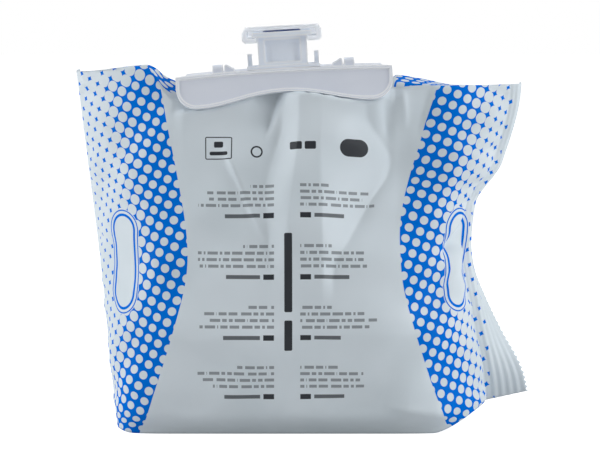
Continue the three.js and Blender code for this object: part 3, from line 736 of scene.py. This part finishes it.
def marks_group(rounded_box):
    """Plain marks: a frame with two bars, a ring, two short bars, a badge and the upright bars."""
    tree, given, give = node_group("marks", ("Along", "Around"), ("Ink",))
    along, around = given

    def box(mark, corner):
        x, t, half_width, half_height = mark
        return placed(tree, rounded_box, Across=along - x, Along=around - t, **{
            "Half Width": half_width, "Half Height": half_height, "Corner": corner})

    ink = (abs(box(FRAME_MARK, FRAME_CORNER)) - FRAME_LINE / 2).below(0.0)
    ring = (along - RING_MARK[0]).hypot(around - RING_MARK[1]) - RING_RADIUS + RING_LINE / 2
    ink = ink.at_least((abs(ring) - RING_LINE / 2).below(0.0))
    ink = ink.at_least(box(BADGE_MARK, BADGE_MARK[3]).below(0.0))
    for bar in UPRIGHT_BARS + FRAME_BARS + SHORT_BARS:
        ink = ink.at_least(box(bar, BAR_CORNER).below(0.0))
    give("Ink", ink)
    return tree


SMUDGE_DETAIL, SMUDGE_TWIST, GRAIN_DETAIL = 3.0, 0.6, 2.0


def surface_wear_group():
    """Uneven handling of a smooth surface: soft smudges, and a fine grain."""
    tree, given, give = node_group("surface wear", ("Smudge Size", "Grain Size"), ("Smudge", "Grain"))
    smudge_size, grain_size = given
    give("Smudge", noise(tree, smudge_size.math("POWER", -1.0), SMUDGE_DETAIL, SMUDGE_TWIST))
    give("Grain", noise(tree, grain_size.math("POWER", -1.0), GRAIN_DETAIL))
    return tree


surface_wear = surface_wear_group()


def printed_film():
    """White film with its print, glossier where it is bare."""
    material, tree, shader = new_material("printed_film")
    place = tree.nodes.new("ShaderNodeUVMap")
    place.uv_map = "film"
    split = tree.nodes.new("ShaderNodeSeparateXYZ")
    tree.links.new(place.outputs["UV"], split.inputs[0])
    along, around = Wire(tree, split.outputs["X"]), Wire(tree, split.outputs["Y"])
    rounded_box = rounded_box_group()
    dots = placed(tree, halftone_group(field_depth_group()), Along=along, Around=around)
    panel_height = around.at_most((around * -1) + BACK_FOOT)
    pill = placed(tree, rounded_box, **{
        "Across": abs(along - FIELD_MIDDLE) - PILL_X, "Along": panel_height - PILL_T,
        "Half Width": PILL_HALF_WIDTH, "Half Height": PILL_HALF_HEIGHT, "Corner": PILL_HALF_WIDTH})
    pill_lines = (abs(pill + PILL_LINE) - PILL_LINE / 2).below(0.0)
    pill_lines = pill_lines.at_least((abs(pill + PILL_INNER) - PILL_LINE).below(0.0))
    blue = (dots * pill.below(0.0).inverted()).at_least(pill_lines)
    dash_rows = placed(tree, dash_rows_group(), Along=along, Around=around)
    marks = placed(tree, marks_group(rounded_box), Along=along, Around=around)
    dark = dash_rows.at_least(marks) * around.below(FRONT_TOP)

    smudge, grain = placed(tree, surface_wear, **{
        "Smudge Size": FILM_SMUDGE * MM, "Grain Size": FILM_GRAIN * MM})
    film = mixed(tree, smudge.ramp(*FILM_TONES), FILM_WHITE, FILM_SHADE)
    colour = mixed(tree, dark, mixed(tree, blue, film, BLUE_INK), DARK_INK)
    feed(tree, shader.inputs["Base Color"], colour)
    roughness = smudge * SMUDGE_ROUGHENS - blue * INK_SMOOTHS + FILM_ROUGHNESS
    feed(tree, shader.inputs["Roughness"], roughness)
    feed(tree, shader.inputs["Coat Weight"], (blue * -INK_DULLS + 1.0) * FILM_GLOSS)
    shader.inputs["Coat Roughness"].default_value = FILM_GLOSS_BLUR
    shader.inputs["Specular IOR Level"].default_value = 0.0
    relief(tree, shader, smudge * SMUDGE_RELIEF + grain * GRAIN_RELIEF, FILM_RELIEF)
    return material


# Moulded pieces
# The edge colours below are painted highlights, laid on the edges of each moulding in place of light
# caught on and through the thin plastic.
PLASTIC_WHITE = srgb(230, 234, 243)
PLASTIC_SHADE = srgb(224, 228, 238)
PLASTIC_EDGE_HIGHLIGHT = srgb(253, 254, 255)
# The outlet's colours are the white plastic painted lighter: painted light that stands in for the
# brighter light on the neck.
OUTLET_PAINTED_LIGHT_WHITE = srgb(243, 248, 255)
OUTLET_PAINTED_LIGHT_TONE = srgb(239, 245, 254)
SEAL_BLUE = srgb(16, 48, 118)
SEAL_DARK = srgb(10, 34, 92)
SEAL_EDGE_HIGHLIGHT = srgb(26, 66, 140)
CAP_CLEAR = srgb(240, 243, 248)
CAP_SHADE = srgb(235, 239, 245)
CAP_EDGE_HIGHLIGHT = srgb(254, 255, 255)
# Reach, samples and turn of the mask for the painted edge highlight.
EDGE_REACH, EDGE_FACETS, EDGE_TURN = 1.3, 8, 0.07
MOULD_GRAIN, MOULD_TONES = 0.4, (0.3, 0.7)
MOULD_SMUDGE_ROUGHENS, MOULD_GRAIN_ROUGHENS = 0.14, 0.06
SHARP_ANGLE = math.radians(48)
EDGE_RADIUS, EDGE_STEPS, EDGE_ANGLE = 0.4, 3, math.radians(32)
JOINED_WITHIN = 0.002


def painted_edge_highlight_group():
    """Painted edge highlight: a mask of a moulding's edges, where its colour is painted lighter to stand
    in for light caught on and through the thin plastic.
    """
    tree, given, give = node_group("painted edge highlight", ("Reach",), ("Edge",))
    rounded = tree.nodes.new("ShaderNodeBevel")
    rounded.samples = EDGE_FACETS
    feed(tree, rounded.inputs["Radius"], given[0])
    face = tree.nodes.new("ShaderNodeNewGeometry")
    alike = tree.nodes.new("ShaderNodeVectorMath")
    alike.operation = "DOT_PRODUCT"
    tree.links.new(rounded.outputs["Normal"], alike.inputs[0])
    tree.links.new(face.outputs["Normal"], alike.inputs[1])
    give("Edge", Wire(tree, alike.outputs["Value"]).inverted().ramp(0.0, EDGE_TURN))
    return tree


painted_edge_highlight = painted_edge_highlight_group()


def moulded_plastic(name, tones, smudge_size, roughness, grain_depth, **plain):
    """A moulded finish with fine grain, slight tone changes, edges painted lighter as a painted
    highlight, and uneven gloss.
    """
    material, tree, shader = new_material(name)
    light, shade, edge_highlight_colour = tones
    smudge, grain = placed(tree, surface_wear, **{
        "Smudge Size": smudge_size * MM, "Grain Size": MOULD_GRAIN * MM})
    # Painted highlight: the edge mask lightens the base colour where the moulding turns.
    edge = placed(tree, painted_edge_highlight, Reach=EDGE_REACH * MM)
    face = mixed(tree, smudge.ramp(*MOULD_TONES), light, shade)
    feed(tree, shader.inputs["Base Color"], mixed(tree, edge, face, edge_highlight_colour))
    uneven = smudge * MOULD_SMUDGE_ROUGHENS + grain * MOULD_GRAIN_ROUGHENS
    feed(tree, shader.inputs["Roughness"], uneven + roughness)
    relief(tree, shader, grain, grain_depth)
    for socket, value in plain.items():
        shader.inputs[socket.replace("_", " ")].default_value = value
    return material


def edge_rounding_group():
    """Even shading for moulded pieces: smooth faces, with sharp edges where they turn steeply."""
    tree = bpy.data.node_groups.new("edge rounding", "GeometryNodeTree")
    tree.interface.new_socket("Geometry", in_out="INPUT", socket_type="NodeSocketGeometry")
    tree.interface.new_socket("Geometry", in_out="OUTPUT", socket_type="NodeSocketGeometry")
    start, end = tree.nodes.new("NodeGroupInput"), tree.nodes.new("NodeGroupOutput")
    faces = tree.nodes.new("GeometryNodeSetShadeSmooth")
    faces.domain = "FACE"
    edges = tree.nodes.new("GeometryNodeSetShadeSmooth")
    edges.domain = "EDGE"
    edges.inputs["Shade Smooth"].default_value = False
    angle = tree.nodes.new("GeometryNodeInputMeshEdgeAngle")
    steep = tree.nodes.new("FunctionNodeCompare")
    steep.data_type = "FLOAT"
    steep.operation = "GREATER_THAN"
    steep.inputs["B"].default_value = SHARP_ANGLE
    tree.links.new(angle.outputs["Unsigned Angle"], steep.inputs["A"])
    tree.links.new(steep.outputs["Result"], edges.inputs["Selection"])
    tree.links.new(start.outputs[0], faces.inputs["Geometry"])
    tree.links.new(faces.outputs["Geometry"], edges.inputs["Geometry"])
    tree.links.new(edges.outputs["Geometry"], end.inputs[0])
    return tree


edge_rounding = edge_rounding_group()


def moulded(node, material):
    """Finishes a solid as a moulding: its edges get a small radius and its curved faces shade evenly."""
    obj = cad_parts[node]
    weld = obj.modifiers.new("joined_corners", "WELD")
    weld.merge_threshold = JOINED_WITHIN * MM
    edge = obj.modifiers.new("edge_radius", "BEVEL")
    edge.width = EDGE_RADIUS * MM
    edge.segments = EDGE_STEPS
    edge.limit_method = "ANGLE"
    edge.angle_limit = EDGE_ANGLE
    edge.use_clamp_overlap = True
    shading = obj.modifiers.new("even_shading", "NODES")
    shading.node_group = edge_rounding
    weights = obj.modifiers.new("face_weights", "WEIGHTED_NORMAL")
    weights.keep_sharp = True
    obj.data.materials.clear()
    obj.data.materials.append(material)


pouch.data.materials.append(printed_film())
white_plastic = moulded_plastic(
    "white_moulded_plastic", (PLASTIC_WHITE, PLASTIC_SHADE, PLASTIC_EDGE_HIGHLIGHT),
    smudge_size=30, roughness=0.38, grain_depth=0.02)
# The spout takes a lighter copy of the white plastic, as painted light on its neck.
outlet_painted_lighter = moulded_plastic(
    "outlet_moulded_plastic_painted_lighter", (OUTLET_PAINTED_LIGHT_WHITE, OUTLET_PAINTED_LIGHT_TONE, PLASTIC_EDGE_HIGHLIGHT),
    smudge_size=30, roughness=0.38, grain_depth=0.02)
blue_rubber = moulded_plastic(
    "blue_seal_rubber", (SEAL_BLUE, SEAL_DARK, SEAL_EDGE_HIGHLIGHT),
    smudge_size=10, roughness=0.45, grain_depth=0.02)
clear_plastic = moulded_plastic(
    "clear_moulded_plastic", (CAP_CLEAR, CAP_SHADE, CAP_EDGE_HIGHLIGHT),
    smudge_size=30, roughness=0.22, grain_depth=0.004, Transmission_Weight=0.7, IOR=1.3)
for node in ("collar_front", "collar_back"):
    moulded(node, white_plastic)
moulded("spout", outlet_painted_lighter)
moulded("outlet_seal", blue_rubber)
moulded("slide_cap", clear_plastic)

# Camera, floor and light
CAMERA_DISTANCE, CAMERA_RISE = 900.0, math.radians(8)
TARGET = Vector((-0.6, 0.0, 85.5))
PICTURE_WIDTH, SENSOR = 600, 36.0
PIXELS_PER_MM = 2.27
FLOOR_HALF, FLOOR_GLOW = 3000.0, 0.92
PAPER_SHADE, PAPER_LIGHT = srgb(202, 202, 202), srgb(206, 206, 206)
PAPER_ROUGHNESS, PAPER_FIBRES_PER_METRE, PAPER_DETAIL = 0.9, 300.0, 3.0
WHITE = (1, 1, 1, 1)
SKY_LIGHT = 0.22
LAMP_COLOUR = (0.94, 0.97, 1.0)
# Soft lights on both sides and above: where they hang, their sizes and their watts
STRIP_OUT, STRIP_Y, STRIP_Z, STRIP_SIZE = 760, -440, 380, (170, 900)
PANEL_OUT, PANEL_Y, PANEL_Z, PANEL_SIZE = 860, -130, 300, (600, 800)
TOP_PLACE, TOP_SIZE, TOP_WATTS = (0, 150, 1000), (900, 600), 3.0
SIDE_LIGHTS = ((-1, "left", 0.4, 4.9), (1, "right", 2.0, 3.4))

camera = bpy.data.objects.new("camera", bpy.data.cameras.new("camera"))
bpy.context.scene.collection.objects.link(camera)
camera.data.sensor_width = SENSOR
camera.data.lens = PIXELS_PER_MM * SENSOR * CAMERA_DISTANCE / PICTURE_WIDTH
away = Vector((0, -math.cos(CAMERA_RISE), math.sin(CAMERA_RISE)))
camera.location = (TARGET + away * CAMERA_DISTANCE) * MM
camera.rotation_euler = (-away).to_track_quat("-Z", "Y").to_euler()
bpy.context.scene.camera = camera

bpy.context.scene.view_settings.view_transform = "Standard"


def paper_floor():
    """White paper under the pack, which keeps the pack's shadow and looks white where it is lit."""
    material, tree, shader = new_material("white_paper")
    fibre = noise(tree, PAPER_FIBRES_PER_METRE, PAPER_DETAIL)
    feed(tree, shader.inputs["Base Color"], mixed(tree, fibre, PAPER_SHADE, PAPER_LIGHT))
    shader.inputs["Roughness"].default_value = PAPER_ROUGHNESS
    shader.inputs["Emission Color"].default_value = WHITE
    feed(tree, shader.inputs["Emission Strength"], seen_directly(tree) * FLOOR_GLOW)
    mesh = bpy.data.meshes.new("paper_floor")
    half = FLOOR_HALF * MM
    corners = [(-half, -half, 0), (half, -half, 0), (half, half, 0), (-half, half, 0)]
    mesh.from_pydata(corners, [], [(0, 1, 2, 3)])
    mesh.materials.append(material)
    floor = bpy.data.objects.new("paper_floor", mesh)
    bpy.context.scene.collection.objects.link(floor)


def softbox(name, place, size, watts):
    """A soft light that faces the middle of the pack."""
    light = bpy.data.lights.new(name, "AREA")
    light.shape = "RECTANGLE"
    light.size, light.size_y = (side * MM for side in size)
    light.energy = watts
    light.color = LAMP_COLOUR
    lamp = bpy.data.objects.new(name, light)
    lamp.location = Vector(place) * MM
    lamp.rotation_euler = (Vector(place) - TARGET).to_track_quat("Z", "Y").to_euler()
    bpy.context.scene.collection.objects.link(lamp)


def studio_sky():
    """Even light from all round; the camera, reflections and clear plastic see it as white."""
    world = bpy.data.worlds.new("studio")
    bpy.context.scene.world = world
    world.use_nodes = True
    tree = world.node_tree
    sky = tree.nodes["Background"]
    sky.inputs["Color"].default_value = WHITE
    feed(tree, sky.inputs["Strength"], seen_directly(tree) * (1 - SKY_LIGHT) + SKY_LIGHT)


paper_floor()
studio_sky()
for side, hand, strip_watts, panel_watts in SIDE_LIGHTS:
    softbox(hand + "_strip", (side * STRIP_OUT, STRIP_Y, STRIP_Z), STRIP_SIZE, strip_watts)
    softbox(hand + "_panel", (side * PANEL_OUT, PANEL_Y, PANEL_Z), PANEL_SIZE, panel_watts)
softbox("top_panel", TOP_PLACE, TOP_SIZE, TOP_WATTS)
